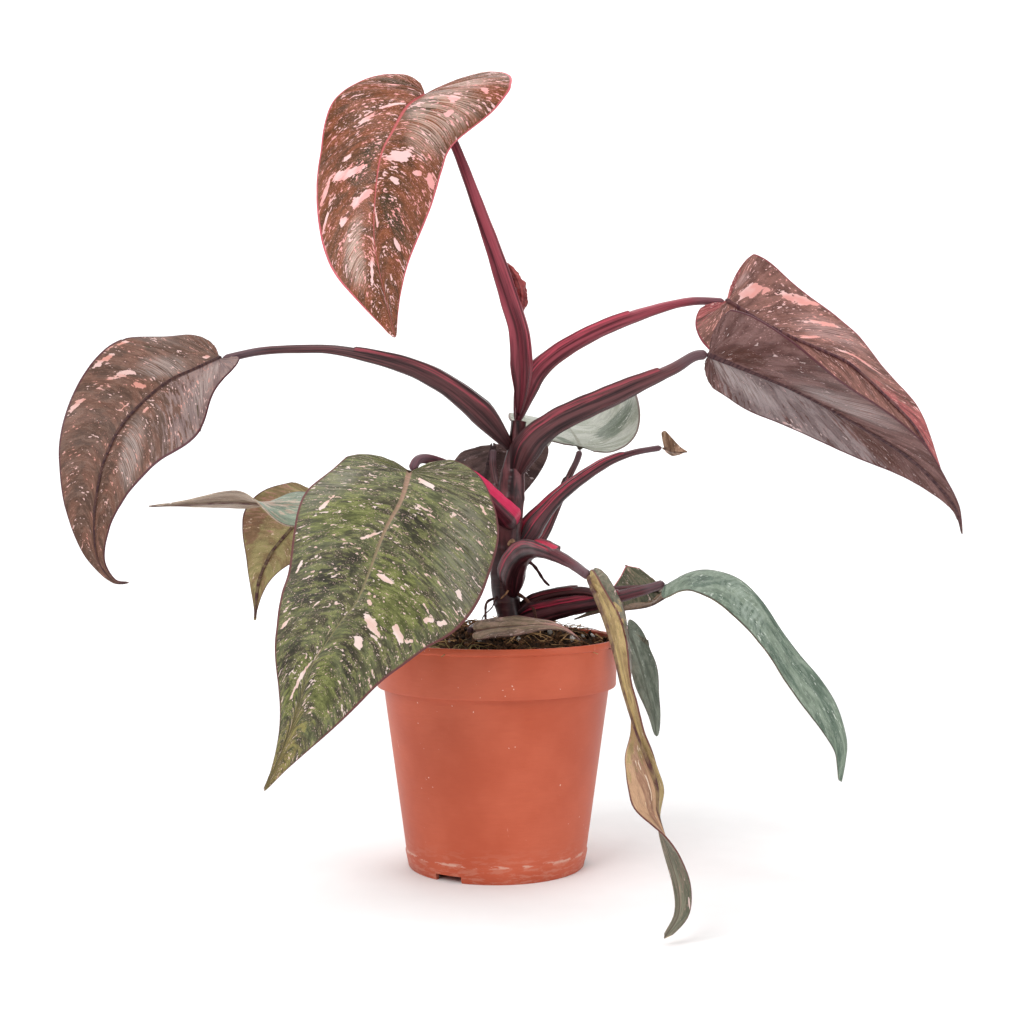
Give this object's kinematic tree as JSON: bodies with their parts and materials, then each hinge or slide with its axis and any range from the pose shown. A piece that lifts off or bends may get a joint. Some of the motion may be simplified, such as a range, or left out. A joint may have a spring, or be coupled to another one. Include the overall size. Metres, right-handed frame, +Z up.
{
  "type": "potted philodendron",
  "caption": "Leafy houseplant with long-stalked, heart-shaped, pink-marbled dark leaves, growing in a tapered round plastic nursery pot.",
  "frame": {"origin": "centre of the flat pad under the pot, level with its foot ring, where it stands", "axes": "+Z up along the pot's axis, -Y towards the viewer of the picture, +X to that viewer's right"},
  "size_m": [0.4454, 0.2765, 0.3841],
  "materials": {
    "pot": "satin",
    "soil": "matte",
    "stem": "satin",
    "crimson": "satin",
    "maroon": "satin",
    "brown_pink": "satin",
    "grey_brown": "satin",
    "olive": "satin",
    "leaf_green": "satin",
    "blue_green": "satin",
    "pale_green": "satin",
    "dry_brown": "matte"
  },
  "bodies": {
    "root": {"pot": "pot", "soil": "soil", "stem": "stem", "new_leaf": "crimson", "stalk_top": "crimson", "blade_top": "brown_pink", "stalk_left": "maroon", "blade_left": "grey_brown", "stalk_right_upper": "crimson", "blade_right_upper": "grey_brown", "stalk_right_lower": "maroon", "blade_right_lower": "grey_brown", "stalk_front": "crimson", "blade_front": "leaf_green", "stalk_left_back": "maroon", "blade_left_back": "olive", "stalk_left_flat": "maroon", "blade_left_flat": "pale_green", "stalk_right_droop": "crimson", "blade_right_droop": "blue_green", "stalk_front_hang": "maroon", "blade_front_hang": "olive", "stalk_right_hang": "maroon", "blade_right_hang": "blue_green", "stalk_back": "maroon", "blade_back": "pale_green", "stalk_back_left": "maroon", "blade_back_left": "grey_brown", "stalk_right_tuck": "maroon", "blade_right_tuck": "olive", "stalk_rim": "maroon", "blade_rim": "grey_brown", "stalk_withered": "maroon", "blade_withered": "dry_brown"}
  },
  "joints": []
}
